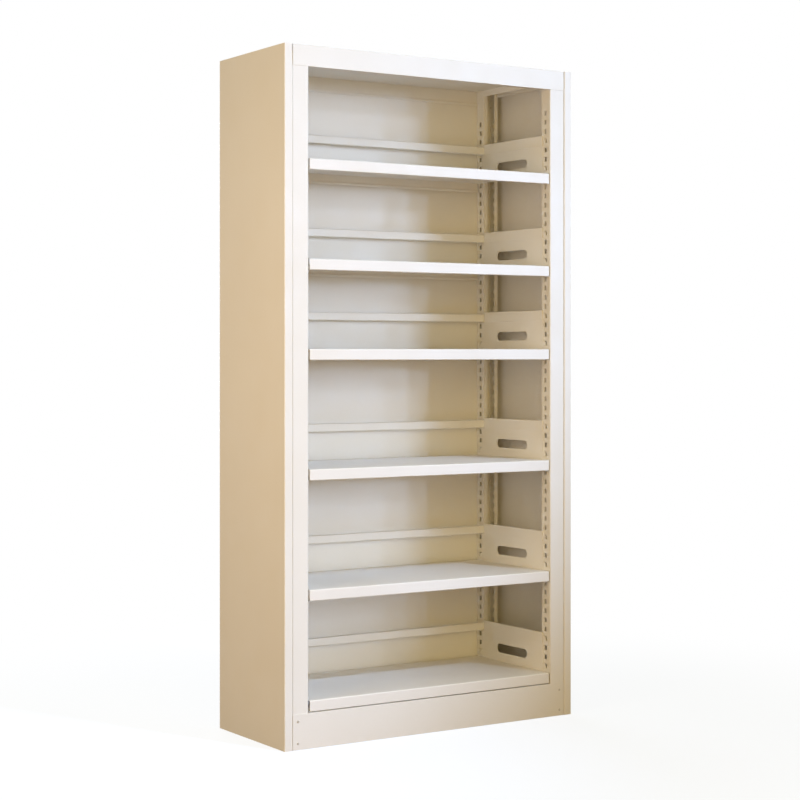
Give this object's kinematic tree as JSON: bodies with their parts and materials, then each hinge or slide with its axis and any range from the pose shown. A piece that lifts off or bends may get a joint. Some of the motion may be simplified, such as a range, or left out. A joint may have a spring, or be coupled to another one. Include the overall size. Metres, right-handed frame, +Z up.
{
  "type": "library bookcase",
  "caption": "Free-standing single-sided steel library bookcase with closed ends, back, fascia and plinth, and shelves hung by hook plates in slotted posts.",
  "frame": {"origin": "on the floor, under the middle of the bookcase's width and depth", "axes": "+X to the right of a person facing the shelves, +Y to the back, +Z up"},
  "size_m": [1.02, 0.4, 2],
  "materials": {
    "frame_coat": "ivory powder coat, semi-matt, finely textured",
    "shelf_coat": "ivory powder coat, semi-matt, finely textured",
    "screw_steel": "self-tapping screws, heads painted with the sheet"
  },
  "bodies": {
    "frame": {"post_front_left": "frame_coat", "post_front_right": "frame_coat", "post_rear_left": "frame_coat", "post_rear_right": "frame_coat", "side_panel_left": "frame_coat", "side_panel_right": "frame_coat", "top_rail_left": "frame_coat", "top_rail_right": "frame_coat", "base_rail_left": "frame_coat", "base_rail_right": "frame_coat", "top_cover": "frame_coat", "plinth": "frame_coat", "back_panel": "frame_coat", "plinth_screws": "screw_steel", "back_panel_screws": "screw_steel", "side_panel_screws": "screw_steel", "top_cover_screws": "screw_steel"},
    "tier_1": {"hook_plate_left_1": "shelf_coat", "hook_plate_right_1": "shelf_coat", "stop_bar_1": "shelf_coat"},
    "board_1": {"shelf_board_1": "shelf_coat"},
    "tier_2": {"hook_plate_left_2": "shelf_coat", "hook_plate_right_2": "shelf_coat", "stop_bar_2": "shelf_coat"},
    "board_2": {"shelf_board_2": "shelf_coat"},
    "tier_3": {"hook_plate_left_3": "shelf_coat", "hook_plate_right_3": "shelf_coat", "stop_bar_3": "shelf_coat"},
    "board_3": {"shelf_board_3": "shelf_coat"},
    "tier_4": {"hook_plate_left_4": "shelf_coat", "hook_plate_right_4": "shelf_coat", "stop_bar_4": "shelf_coat"},
    "board_4": {"shelf_board_4": "shelf_coat"},
    "tier_5": {"hook_plate_left_5": "shelf_coat", "hook_plate_right_5": "shelf_coat", "stop_bar_5": "shelf_coat"},
    "board_5": {"shelf_board_5": "shelf_coat"},
    "tier_6": {"hook_plate_left_6": "shelf_coat", "hook_plate_right_6": "shelf_coat", "stop_bar_6": "shelf_coat"},
    "board_6": {"shelf_board_6": "shelf_coat"}
  },
  "joints": [
    {"name": "tier_1_lift", "type": "slide", "parent": "frame", "child": "tier_1", "axis": [0, 0, 1], "range_m": [0, 0.007]},
    {"name": "board_1_lift", "type": "slide", "parent": "tier_1", "child": "board_1", "axis": [0, 0, 1], "range_m": [0, 0.08]},
    {"name": "tier_2_lift", "type": "slide", "parent": "frame", "child": "tier_2", "axis": [0, 0, 1], "range_m": [0, 0.007]},
    {"name": "board_2_lift", "type": "slide", "parent": "tier_2", "child": "board_2", "axis": [0, 0, 1], "range_m": [0, 0.08]},
    {"name": "tier_3_lift", "type": "slide", "parent": "frame", "child": "tier_3", "axis": [0, 0, 1], "range_m": [0, 0.007]},
    {"name": "board_3_lift", "type": "slide", "parent": "tier_3", "child": "board_3", "axis": [0, 0, 1], "range_m": [0, 0.08]},
    {"name": "tier_4_lift", "type": "slide", "parent": "frame", "child": "tier_4", "axis": [0, 0, 1], "range_m": [0, 0.007]},
    {"name": "board_4_lift", "type": "slide", "parent": "tier_4", "child": "board_4", "axis": [0, 0, 1], "range_m": [0, 0.08]},
    {"name": "tier_5_lift", "type": "slide", "parent": "frame", "child": "tier_5", "axis": [0, 0, 1], "range_m": [0, 0.007]},
    {"name": "board_5_lift", "type": "slide", "parent": "tier_5", "child": "board_5", "axis": [0, 0, 1], "range_m": [0, 0.08]},
    {"name": "tier_6_lift", "type": "slide", "parent": "frame", "child": "tier_6", "axis": [0, 0, 1], "range_m": [0, 0.007]},
    {"name": "board_6_lift", "type": "slide", "parent": "tier_6", "child": "board_6", "axis": [0, 0, 1], "range_m": [0, 0.08]}
  ]
}
